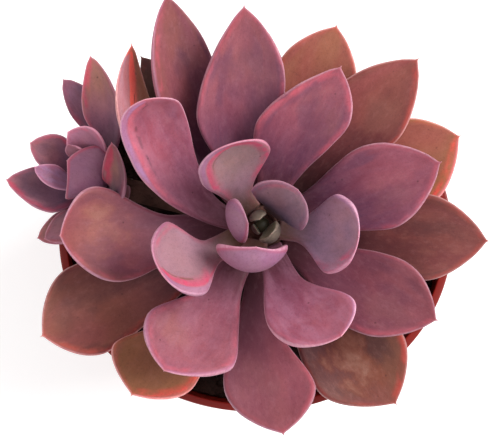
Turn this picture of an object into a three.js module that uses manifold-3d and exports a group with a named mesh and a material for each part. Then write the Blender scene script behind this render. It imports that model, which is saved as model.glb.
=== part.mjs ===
// A potted graptoveria: one thick-leaved rosette with a smaller offset at its side, in an oval nursery pot.
// Millimetres, +Z up. The origin is the middle of the pot's base, on the surface that it stands on.
import * as THREE from "three";
import { mergeVertices } from "three/addons/utils/BufferGeometryUtils.js";
import Module from "manifold-3d";

const wasm = await Module();
wasm.setup();

// Driving dimensions
const GAP = 0.3; // between pieces that touch
const POT = {
  height: 82,
  oval: 0.894, // front to back across, for each unit from side to side
  rimRadius: 52,
  rimDepth: 15,
  rimStep: 1.8,
  baseRadius: 37,
  wall: 1.3,
  lip: 2.3,
  floor: 1.8,
  edge: 0.6, // rounding of its edges
  sides: 40,
};
const DRAIN = { holes: 8, radius: 3, circle: 27, recess: 1, inner: 20, outer: 33.5 };
const SOIL = { top: 70.5, bumps: 0.54, rings: [49.6, 46, 40, 33, 26, 19, 12], level: 46, sides: 40 };
const STEM = {
  x: 1.4,
  y: 2.9,
  foot: 52,
  footRadius: 4.6,
  flare: 8,
  radius: 6.6,
  crown: 94,
  apex: 108,
  apexRadius: 2.6,
  sides: 16,
};
const OFFSET = {
  x: -41.3,
  y: 15.7,
  z: 90.5,
  az: 152,
  lean: 28,
  radius: 3,
  foot: -9,
  crown: -2,
  apex: 4,
  apexRadius: 1.4,
  sides: 12,
};
const BUD = { radius: 2, tall: 3 };
const OFFSET_BUD = { radius: 1.2, tall: 3 };
const SHOOT = { radius: 3, from: 76, az: 163, run: 22, rise: 10, sunk: 2, sides: 10 };
// A leaf's sizes across are shares of its half-width, and places along it are shares of its length
const LEAF = {
  sides: 12,
  neck: 0.3,
  thick: 0.235,
  face: 0.62,
  back: 1.38,
  round: 0.85,
  cup: 0.12,
  pull: 0.36,
  end: 0.975,
  taper: 2.1,
  point: 0.45, // millimetres, the half-width of the fine point at the tip
  clear: 0.7, // millimetres more at the root of a leaf that stands up steeply
};

const rad = THREE.MathUtils.degToRad;
const { smoothstep, lerp } = THREE.MathUtils;
const around = (deg, r, z) => new THREE.Vector3(r * Math.cos(rad(deg)), r * Math.sin(rad(deg)), z);
const heading = (deg, rise) => around(deg, Math.cos(rad(rise)), Math.sin(rad(rise)));

// Materials, one for each finish
const paint = (color, roughness) => new THREE.MeshStandardMaterial({ color, roughness, metalness: 0 });
const MATERIALS = {
  pot: paint(0xa8341f, 0.45),
  soil: paint(0x2a2019, 0.95),
  stem: paint(0x7a5a44, 0.8),
  young: paint(0x8c8490, 0.6),
  leaf: paint(0x94566a, 0.6),
  old: paint(0xa0665a, 0.6),
};

// Solids for joining and cutting
function solid(geometry) {
  const bare = geometry.clone();
  bare.deleteAttribute("normal");
  bare.deleteAttribute("uv");
  const merged = mergeVertices(bare, 1e-4);
  return new wasm.Manifold(
    new wasm.Mesh({
      numProp: 3,
      vertProperties: merged.attributes.position.array,
      triVerts: new Uint32Array(merged.index.array),
    }),
  );
}

function geometryOf(body) {
  const mesh = body.getMesh();
  return new THREE.BufferGeometry()
    .setAttribute("position", new THREE.BufferAttribute(mesh.vertProperties, 3))
    .setIndex(new THREE.BufferAttribute(mesh.triVerts, 1));
}

function piece(name, geometry, material) {
  const mesh = new THREE.Mesh(geometry, material);
  mesh.name = name;
  return mesh;
}

// A solid of revolution about +Z from its profile of [radius, height] points, listed upwards
function turned(profile, sides) {
  const points = profile.map(([r, z]) => new THREE.Vector2(r, z));
  return new THREE.LatheGeometry(points, sides).rotateX(Math.PI / 2);
}

const cylinder = (r, from, to, sides) => turned([[0, from], [r, from], [r, to], [0, to]], sides);

// A closed ball whose rings are laid along a curve: one pole is at its start and the other at its end.
// across and through run from -1 to 1 round each ring, and shape gives the point's offset from the curve.
function laid(curve, rings, sides, shape) {
  const ball = new THREE.SphereGeometry(1, sides, rings.length - 1);
  const place = ball.attributes.position;
  const point = new THREE.Vector3();
  for (let i = 0; i < place.count; i++) {
    point.fromBufferAttribute(place, i);
    const turn = Math.acos(THREE.MathUtils.clamp(point.y, -1, 1));
    const ring = Math.round((rings.length - 1) * (1 - turn / Math.PI));
    const pole = ring === 0 || ring === rings.length - 1;
    const spread = Math.sin(turn) || 1;
    const across = pole ? 0 : -point.x / spread;
    const through = pole ? 0 : point.z / spread;
    const u = rings[ring];
    point.copy(curve.getPointAt(u)).add(shape(u, curve.getTangentAt(u), across, through));
    place.setXYZ(i, point.x, point.y, point.z);
  }
  return ball;
}

// Leaves
// Share of the greatest half-width at u along the leaf, from a narrow neck to a pointed end
function outline(u, belly) {
  if (u < belly) return lerp(LEAF.neck, 1, smoothstep(u / belly, 0.02, 1.02));
  const t = (u - belly) / (LEAF.end - belly);
  return Math.max(1 - t ** LEAF.taper, 0);
}

// Share of the greatest thickness at u along the leaf
const fleshAt = (u) => 0.72 + 0.28 * Math.sin(Math.PI * Math.min(u / 0.9, 1)) - 0.5 * smoothstep(u, 0.6, 1);

const RINGS = [0, 0, 0.12, 0.28, 0.42, 0.54, 0.65, 0.76, 0.86, 0.94, LEAF.end, 1];

// A leaf's midline rises from its root at the stem to its tip
function midline(leaf, stemRadius) {
  const { az, reach, top, root, out, end, swing } = leaf;
  const foot = around(az + swing, stemRadius(root) + GAP + LEAF.clear * Math.sin(rad(out)), root);
  const tip = around(az, reach, top);
  const pull = LEAF.pull * foot.distanceTo(tip);
  return new THREE.CubicBezierCurve3(
    foot,
    foot.clone().addScaledVector(heading(az + swing, out), pull),
    tip.clone().addScaledVector(heading(az - swing, end), -pull),
    tip,
  );
}

// A fleshy blade: flatter on its face than on its back, its margins lifted a little
function leafGeometry(leaf, stemRadius) {
  const { az, wide, swing, roll, belly, face = 0, cup = LEAF.cup } = leaf;
  const half = wide / 2;
  const shape = (u, along, across, through) => {
    const facing = rad(az + face + swing * (1 - 2 * u));
    const side = new THREE.Vector3(-Math.sin(facing), Math.cos(facing), 0);
    side.addScaledVector(along, -side.dot(along)).normalize();
    side.applyAxisAngle(along, rad(roll) * smoothstep(u, 0, 0.7));
    const up = along.clone().cross(side);
    const width = half * outline(u, belly) + LEAF.point * (1 - smoothstep(u, 0.9, 1));
    const flesh = half * LEAF.thick * fleshAt(u) * Math.min(1, 0.25 + width / half);
    const depth = flesh * (through > 0 ? LEAF.face : LEAF.back) * Math.abs(through) ** LEAF.round;
    const lift = cup * half * (width / half) ** 2 * across ** 2;
    return side.multiplyScalar(width * across).addScaledVector(up, Math.sign(through) * depth + lift);
  };
  return laid(midline(leaf, stemRadius), RINGS, LEAF.sides, shape);
}

const COLUMNS = ["az", "reach", "top", "root", "wide", "out", "end", "swing", "roll", "belly", "face", "cup"];
const readLeaf = (row) => Object.fromEntries(COLUMNS.map((column, i) => [column, row[i]]));

// The main rosette's leaves, youngest first: az and reach place the tip in plan, top and root are heights,
// out and end are the slopes at the root and the tip, swing bends the leaf sideways, roll twists it,
// face turns its blade about the upright and cup lifts its margins.
const ROSETTE = [
  [172, 5, 121, 106.3, 12.2, 60, 115, 0, 0, 0.6, 22, 0.32],
  [47, 12.4, 124, 105, 16.5, 55, 55, 0, 0, 0.62, 6],
  [252, 6.4, 123, 104, 17.5, 35, 115, 0, 0, 0.6, 14, 0.5],
  [112, 20.8, 128, 103, 20.4, 40, 85, 18, 20, 0.58],
  [353, 24, 128, 102, 20, 35, 80, 0, 0, 0.6],
  [200, 25, 128, 101, 20, 30, 110, 8, 10, 0.6],
  [63.5, 43.5, 119, 100, 21.5, 25, 30, 8, 0, 0.6],
  [300.5, 31.5, 126, 99, 24, 20, 95, -8, 0, 0.66, -10],
  [139, 42, 128, 98, 17.5, 20, 85, 26, 28, 0.72],
  [19.4, 47, 115, 97, 22.5, 20, 28, -2, 0, 0.62],
  [239.5, 41.8, 122, 96, 24, 15, 90, -2, 0, 0.7],
  [95.3, 54.5, 116, 95, 21.5, 20, 30, 8, 0, 0.6],
  [331.5, 49.5, 110, 94, 21, 15, 25, -3, 0, 0.68],
  [183, 50, 116, 93, 24, 12, 80, 0, 0, 0.66],
  [276, 53, 108, 92, 24, 12, 35, -6, 0, 0.68],
  [112.4, 62, 114, 91, 17.5, 15, 35, 18, 30, 0.62],
  [46.8, 57, 108, 90, 21, 14, 25, 0, 0, 0.66],
  [356, 57.4, 105, 89, 21, 12, 20, 0, 0, 0.72],
  [232.6, 54.3, 104, 88, 25, 10, 50, 0, 0, 0.7],
  [125.5, 56, 108, 87, 16, 10, 45, 44, 70, 0.62],
  [307, 57.5, 99, 86, 24, 8, 25, 0, 0, 0.72],
  [206.8, 63, 100, 85, 24, 8, 50, 0, 0, 0.76],
  [68.7, 54.5, 100, 84, 20, 8, 20, 0, 0, 0.7],
  [24.2, 56, 98, 82.5, 21, 8, 20, 0, 0, 0.7],
  [124.5, 54, 91.5, 80.5, 13, 4, 12, 0, 0, 0.6],
  [90, 52.5, 91, 78, 13, 4, 12, 0, 0, 0.6],
  [9.4, 48, 87.5, 78.4, 14, 2, 8, -2, 0, 0.66],
].map(readLeaf);

// The offset's leaves, in its own leaning frame
const OFFSET_LEAVES = [
  [94, 8, 15.5, 3, 10, 40, 100, -30, 0, 0.6],
  [335, 0, 15, 2, 11, 35, 150, 0, -12, 0.6],
  [181, 11, 13, 1, 6, 40, 50, 40, 0, 0.6],
  [20, 10.5, 12, 0, 9.5, 15, 60, -30, 0, 0.55],
  [154, 15.4, 11.6, -1, 9.5, 25, 40, 0, 0, 0.6],
  [84.5, 28.7, 12.5, -1.5, 9, 20, 30, -20, 0, 0.5],
  [185, 22, 8.8, -3, 11, 15, 30, 18, 0, 0.6],
  [105, 24.6, 10, -4.5, 9, 8, 40, -26, 0, 0.6],
  [235, 21, 4, -4, 8, 10, 20, 24, 0, 0.6],
  [226, 22.6, 1.5, -6.5, 8.5, -2, 15, 24, 0, 0.6],
  [316, 14, -1.5, -4.5, 8, 5, 10, 0, 0, 0.6],
].map(readLeaf);

// The youngest leaves, grown together on the growing point
const HEART = [
  [311, 2.5, 9.5, 1, 7.5, 50, 100, 0, 0, 0.6, 0, 0.3],
  [108, 1.6, 8.5, 1, 5, 50, 125, 0, 0, 0.6],
  [208, 1.8, 6.5, 1, 4, 50, 115, 0, 0, 0.6],
].map(readLeaf);
const OFFSET_HEART = [
  [95, 4.5, 11, 1, 4.5, 60, 80, 0, 0, 0.6],
  [250, 1.8, 7, 1, 3.6, 60, 100, 0, 0, 0.6],
].map(readLeaf);

// Radius of each stem at a height: a post that tapers to the growing point
const stemRadius = (z) => lerp(STEM.radius, STEM.apexRadius, smoothstep(z, STEM.crown, STEM.apex));
const offsetRadius = (z) => lerp(OFFSET.radius, OFFSET.apexRadius, smoothstep(z, OFFSET.crown, OFFSET.apex));

function taper(radiusAt, from, to, steps) {
  const heights = Array.from({ length: steps + 1 }, (_, i) => lerp(from, to, i / steps));
  return heights.map((z) => [radiusAt(z), z]);
}

// Stands the offset's own frame on the main one
function leaning(object) {
  object.position.set(OFFSET.x, OFFSET.y, OFFSET.z);
  object.quaternion.setFromUnitVectors(new THREE.Vector3(0, 0, 1), heading(OFFSET.az, 90 - OFFSET.lean));
  object.updateMatrix();
  return object;
}

// One grown stem: the main post, the side shoot over the soil and the offset's post
function buildStem() {
  const post = turned(
    [
      [0, STEM.foot],
      [STEM.footRadius, STEM.foot],
      [STEM.radius, STEM.foot + STEM.flare],
      ...taper(stemRadius, STEM.crown, STEM.apex, 7),
      [0, STEM.apex],
    ],
    STEM.sides,
  ).translate(STEM.x, STEM.y, 0);
  const lean = leaning(new THREE.Object3D());
  const offsetPost = turned(
    [[0, OFFSET.foot], ...taper(offsetRadius, OFFSET.foot, OFFSET.apex, 6), [0, OFFSET.apex]],
    OFFSET.sides,
  ).applyMatrix4(lean.matrix);

  const from = new THREE.Vector3(STEM.x, STEM.y, SHOOT.from);
  const to = new THREE.Vector3(0, 0, OFFSET.foot + SHOOT.sunk).applyMatrix4(lean.matrix);
  const shoot = laid(
    new THREE.CubicBezierCurve3(
      from,
      from.clone().add(around(SHOOT.az, SHOOT.run, 0)),
      new THREE.Vector3(0, 0, OFFSET.foot - SHOOT.rise).applyMatrix4(lean.matrix),
      to,
    ),
    [0, 0, 0.2, 0.4, 0.6, 0.75, 0.88, 1, 1],
    SHOOT.sides,
    (u, along, across, through) => {
      const side = new THREE.Vector3(0, 0, 1).cross(along).normalize();
      const up = along.clone().cross(side);
      return side.multiplyScalar(SHOOT.radius * across).addScaledVector(up, SHOOT.radius * through);
    },
  );
  const body = wasm.Manifold.union([solid(post), solid(offsetPost), solid(shoot)]);
  return piece("stem", geometryOf(body), MATERIALS.stem);
}

// Tiny leaves joined on a round core that sits on the end of a stem
function buildHeart(name, leaves, { radius, tall }) {
  const core = new THREE.SphereGeometry(radius, 12, 8);
  core.scale(1, 1, tall / 2 / radius).translate(0, 0, GAP + tall / 2);
  const noStem = () => 0;
  const blades = leaves.map((leaf) => solid(leafGeometry(leaf, noStem)));
  return piece(name, geometryOf(wasm.Manifold.union([solid(core), ...blades])), MATERIALS.young);
}

// Pot
const rimFoot = POT.height - POT.rimDepth;
const underRim = POT.rimRadius - POT.rimStep - POT.edge;

// The inside of the wall, from the floor to the lip, before the pot is made oval
const potInside = [
  [POT.baseRadius - POT.wall, DRAIN.recess + POT.floor],
  [underRim - POT.wall, rimFoot - 1],
  [POT.rimRadius - POT.lip + 0.2, rimFoot + 1],
  [POT.rimRadius - POT.wall - 0.1, POT.height - 3.5],
  [POT.rimRadius - POT.lip, POT.height - 2],
  [POT.rimRadius - POT.lip, POT.height - 0.4],
];

// The outside, from the middle of the base to the top of the rim
const potOutside = [
  [0, 0],
  [DRAIN.inner, 0],
  [DRAIN.inner + POT.edge, DRAIN.recess],
  [DRAIN.outer - POT.edge, DRAIN.recess],
  [DRAIN.outer, 0],
  [POT.baseRadius - POT.edge, 0],
  [POT.baseRadius, POT.edge],
  [underRim, rimFoot - 2 * POT.edge],
  [POT.rimRadius - 2 * POT.edge, rimFoot - 0.4],
  [POT.rimRadius - POT.edge, rimFoot + 0.2],
  [POT.rimRadius, POT.height - POT.edge],
  [POT.rimRadius - 0.5, POT.height],
  [POT.rimRadius - POT.lip + 0.4, POT.height],
];

function buildPot() {
  const inside = potInside.slice().reverse();
  const shell = turned([...potOutside, ...inside, [0, DRAIN.recess + POT.floor]], POT.sides);
  const holes = Array.from({ length: DRAIN.holes }, (_, i) => {
    const at = around((i * 360) / DRAIN.holes, DRAIN.circle, 0);
    const drill = cylinder(DRAIN.radius, -1, DRAIN.recess + POT.floor + 1, 16);
    return solid(drill.translate(at.x, at.y * POT.oval, 0));
  });
  const oval = solid(shell.scale(1, POT.oval, 1));
  return piece("pot", geometryOf(oval.subtract(wasm.Manifold.union(holes))), MATERIALS.pot);
}

// Soil fills the pot's inside and has a plain hole for the stem
function buildSoil() {
  const clear = GAP / POT.oval + 0.05;
  const bank = potInside.slice(0, 3).map(([r, z], i) => [r - clear, z + (i === 0 ? GAP : 0)]);
  const rings = SOIL.rings.map((r) => [r, SOIL.top]);
  const heap = turned([[0, bank[0][1]], ...bank, ...rings, [0, SOIL.top]], SOIL.sides).scale(1, POT.oval, 1);
  const place = heap.attributes.position;
  for (let i = 0; i < place.count; i++) {
    if (Math.abs(place.getZ(i) - SOIL.top) > 0.01) continue;
    const x = place.getX(i);
    const y = place.getY(i);
    const fade = 1 - smoothstep(Math.hypot(x, y / POT.oval), SOIL.level - 8, SOIL.level);
    const bump = Math.sin(x * 0.31 + 1) * Math.cos(y * 0.27) + 0.6 * Math.sin(x * 0.12 - y * 0.19);
    place.setZ(i, SOIL.top + SOIL.bumps * bump * fade);
  }
  const mouth = STEM.radius + 1.3 * GAP;
  const hole = cylinder(mouth, STEM.foot - GAP, POT.height, 24).translate(STEM.x, STEM.y, 0);
  return piece("soil", geometryOf(solid(heap).subtract(solid(hole))), MATERIALS.soil);
}

const number = (i) => String(i + 1).padStart(2, "0");

const main = new THREE.Group();
main.position.set(STEM.x, STEM.y, 0);
ROSETTE.forEach((leaf, i) => {
  const material = i < 6 ? MATERIALS.young : i < 16 ? MATERIALS.leaf : MATERIALS.old;
  main.add(piece("leaf_" + number(i), leafGeometry(leaf, stemRadius), material));
});
const heart = buildHeart("heart", HEART, BUD);
heart.position.z = STEM.apex;
main.add(heart);

const offset = leaning(new THREE.Group());
OFFSET_LEAVES.forEach((leaf, i) => {
  offset.add(piece("offset_leaf_" + number(i), leafGeometry(leaf, offsetRadius), MATERIALS.leaf));
});
const offsetHeart = buildHeart("offset_heart", OFFSET_HEART, OFFSET_BUD);
offsetHeart.position.z = OFFSET.apex;
offset.add(offsetHeart);

const plant = new THREE.Group();
plant.add(buildPot(), buildSoil(), buildStem(), main, offset);

export default plant;
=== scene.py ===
import math
import random
from bisect import bisect_right
from collections import namedtuple

import bmesh
import bpy
from mathutils import Matrix, Vector, noise
from mathutils.geometry import interpolate_bezier


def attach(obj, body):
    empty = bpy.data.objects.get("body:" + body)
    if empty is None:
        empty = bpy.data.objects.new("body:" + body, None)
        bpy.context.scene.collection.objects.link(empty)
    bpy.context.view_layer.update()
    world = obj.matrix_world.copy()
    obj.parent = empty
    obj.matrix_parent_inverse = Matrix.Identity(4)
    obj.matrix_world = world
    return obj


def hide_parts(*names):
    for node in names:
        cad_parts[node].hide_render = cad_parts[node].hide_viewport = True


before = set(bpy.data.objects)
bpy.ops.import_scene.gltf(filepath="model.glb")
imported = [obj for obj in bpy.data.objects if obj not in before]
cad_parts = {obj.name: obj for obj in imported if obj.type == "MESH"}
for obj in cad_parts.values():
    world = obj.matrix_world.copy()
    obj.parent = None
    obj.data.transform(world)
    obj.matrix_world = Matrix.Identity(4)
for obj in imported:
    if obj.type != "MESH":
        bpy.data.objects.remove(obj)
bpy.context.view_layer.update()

MM = 0.001

# The part's own gap between one solid and the next, and how far a piece may stay inside its solid
GAP = 0.3
INSET = 0.1

# The pot, with the part's own sizes
POT_HEIGHT = 82
POT_OVAL = 0.894
RIM_RADIUS = 52
RIM_FOOT = 67
RIM_STEP = 1.8
BASE_RADIUS = 37
WALL = 1.3
LIP = 2.3
LIP_DEEP = 2
LIP_FADE = 3.5
BAND_STEP = 1
EASE = 0.6
FLOOR = 1.8
DRAIN_HOLES = 8
DRAIN_RADIUS = 3
DRAIN_CIRCLE = 27
DRAIN_RECESS = 1
DRAIN_RING = (20, 33.5)
FLOOR_TOP = DRAIN_RECESS + FLOOR
UNDER_RIM = RIM_RADIUS - RIM_STEP - EASE
BAND_INSIDE = RIM_RADIUS - LIP + 2 * INSET
POT_STEPS = 180
CORNER_STEPS = 5
DRILL_SIDES = 40
DRILL_LONG = 8
SHARP_ANGLE = 40

# The soil, with the part's own gentle heaps, which fade out towards the wall, and small clods on them
SOIL_TOP = 70.5
SOIL_BUMPS = 0.54
SOIL_FADE = (38, 46)
CLOD_HIGH = 0.7
CLOD_SCALE = 0.35
CLOD_NOISE = (0.8, 2.1, 4)
SOIL_STEPS = 240
SOIL_RINGS = 90

# The soil's hole is this many gaps wider than the stem, and its rings turn from oval to round inside
# this radius
MOUTH_GAPS = 1.3
ROUND_WITHIN = 40

# What lies loose on the soil: how many, their least and greatest size, how long for their width, how
# deep they sit as a share of their size, and the seed of their draws
Crumbs = namedtuple("Crumbs", "count sizes stretch sunk seed")
PEAT = Crumbs(900, (0.8, 2.4), 1.3, 0.25, 11)
CHIPS = Crumbs(120, (1.2, 3), 1.9, 0.2, 12)
PERLITE = Crumbs(90, (0.6, 1.9), 1.1, 0.2, 13)
CRUMB_AREA = (0.035, 0.86)
CRUMB_TILT = 0.5
CRUMB_ROUGH = 0.35
CRUMB_NOISE = 2.2
STEM_ROOM = 2.5

# The main stem, the offset's post and the bark on both
STEM_AT = Vector((1.4, 2.9, 0))
STEM_FOOT = 52
STEM_RADIUS = 6.6
STEM_CROWN = 94
STEM_APEX = 108
APEX_RADIUS = 2.6
OFFSET_AT = Vector((-41.3, 15.7, 90.5))
OFFSET_AZ = 152
OFFSET_LEAN = 28
OFFSET_RADIUS = 3
OFFSET_CROWN = -2
OFFSET_APEX = 4
OFFSET_APEX_RADIUS = 1.4
BARK_SMOOTHING = 4
BARK_RINGS = 2.2
BARK_RING_HIGH = 0.12
BARK_BUMP_HIGH = 0.15

# A leaf's flesh: its greatest thickness as a share of the half-width, how that splits into face and
# back, how square its back is, and its thickness at the root, in the swell, at the tip and where the
# leaf is narrow
THICK = 0.235
FACE_SHARE = 0.62
BACK_SHARE = 1.38
BACK_ROUND = 0.7
ROOT_FLESH = 0.72
SWELL = 0.28
SWELL_END = 0.9
TIP_LOSS = 0.5
NARROW_FLESH = 0.25

# A leaf's outline: its neck as a share of the half-width, where the neck is done as a share of the way
# to the belly, where the blade ends, how round a blunt end is, and the half-width in millimetres of the
# point, which is finer on a tip that rises steeply
NECK = 0.3
NECK_DONE = 1.02
BLADE_END = 0.985
BLUNT_POWER = 0.5
POINT = 0.6
POINT_FROM = 0.94
STEEP_POINT = 0.3
STEEP_END = (40, 70)
LEAST_WIDE = 0.04
ROOT_CLEAR = 0.7

# A leaf's margin: its lip in millimetres near the root, the least radius of its rounding and its
# greatest share of the half-width, then the soft ridge inside a wide lip, with its height, place and
# width
THIN_LIP = 0.4
ROUND_LIP = 1.3
LIP_MOST = 0.6
RIDGE = 0.14
RIDGE_AT = 0.9
RIDGE_WIDE = 0.7
RIDGE_LIP = (0.9, 1.5)

# Where along a leaf these start and are complete: its roll, the thinning of its flesh, its lip, the end
# of its ridge and the waves in its skin
ROLLED = (0, 0.7)
THINNED = (0.6, 1)
LIPPED = (0.3, 0.65)
RIDGE_ENDS = (0.9, 1)
WAVY = (0.1, 0.5)

# How far a leaf's skin and edge stray from a perfect form, how fast, and how far apart leaves lie in
# each noise
WAVE = 0.5
WAVE_HALF = 12
WAVE_ACROSS = 0.09
WAVE_ALONG = 0.07
WAVE_APART = 3.1
EDGE_WAVE = 0.022
EDGE_WAVES = 7
EDGE_APART = 1.7
SKIN_APART = 7.3
BACK_APART = 2

# How much of the back's depth counts as distance from the edge, and how far one side's blush reaches
# over the midline, as a share of the half-width
BACK_WRAP = 0.5
BLUSH_OVER = 0.3

# The meshes of blades and buds. Rings crowd towards the tip, and slopes are taken over a small share of
# a leaf
LEAF_SIDES = 56
LEAF_RINGS = 68
BUD_SIDES = 32
BUD_RINGS = 36
CORE_RINGS = 20
CROWDING = 1.3
SHORT_WAY = 0.01

# Where a scar lies on a leaf, along and beside its midline, how far it spreads and how ragged it is
SCAR_AT = 0.7
SCAR_LONG = 0.16
SCAR_ASIDE = 3
SCAR_WIDE = 7
SCAR_RAGGED = 5

# The camera looks straight down: its place, and its focal length in pixels of the frame
FRAME_WIDTH = 492
FOCAL_PIXELS = 1895
CAMERA_AT = Vector((-2.53, 3.69, 582))
SENSOR = 36
CLIP_NEAR = 0.05
CLIP_FAR = 10

# The paper under the pot, the sky and the lights, with each light's place, size and power, in metres
# and watts
PAPER_SIZE = 2.5
PAPER_WHITE = 0.9
PAPER_GLOW = 0.3
SKY = 0.75
LIGHT_AIM = Vector((0, 0, 0.1))
LIGHTS = {
    "key light": ((0.85, 0.35, 0.95), 0.8, 20),
    "fill light": ((-0.7, -0.4, 0.9), 0.9, 2),
}


def smoothstep(x, low, high):
    t = min(max((x - low) / (high - low), 0), 1)
    return t * t * (3 - 2 * t)


def lerp(a, b, t):
    return a + (b - a) * t


def around(az, r, z=0):
    a = math.radians(az)
    return Vector((r * math.cos(a), r * math.sin(a), z))


def heading(az, rise):
    a = math.radians(rise)
    return around(az, math.cos(a), math.sin(a))


def stem_radius(z):
    return lerp(STEM_RADIUS, APEX_RADIUS, smoothstep(z, STEM_CROWN, STEM_APEX))


def offset_radius(z):
    return lerp(OFFSET_RADIUS, OFFSET_APEX_RADIUS, smoothstep(z, OFFSET_CROWN, OFFSET_APEX))


def no_stem(_):
    return 0


# Leaves, youngest first. az and reach place the tip in plan, top and root are heights, and out and end
# are the slopes at the root and the tip. swing bends the leaf sideways, roll twists it and face turns
# its blade about the upright. cup lifts its margins, bow is how far its midline keeps each end's
# direction and blunt rounds its end.
LEAF_FIELDS = "az reach top root wide out end swing roll face cup bow blunt"
Leaf = namedtuple("Leaf", LEAF_FIELDS, defaults=(0, 0, 0, 0.12, 0.36, 0))
# One side of a leaf, left then right as seen from the stem: its share of the half-width, where it is
# widest, how full it stays towards the tip, where it starts to widen, how wide its rounded lip is in
# millimetres and how red its margin is
Side = namedtuple("Side", "width belly taper flare lip blush", defaults=(1, 0.6, 2.1, 0.02, 0.45, 0.25))
# How olive-brown, how plum towards the root and how pale with wax a leaf is, from 0 to 1, where the plum
# is partly painted shade, then how light it is, a brightness that paints shade and light on the whole
# leaf, and how scarred
Tone = namedtuple("Tone", "warm plum bloom light scar", defaults=(1, 0.1))
# A heart: its smallest leaves, the core between them, how plump they are and the seed of their waves
Bud = namedtuple("Bud", "rows core_radius core_tall plump seed")

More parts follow.
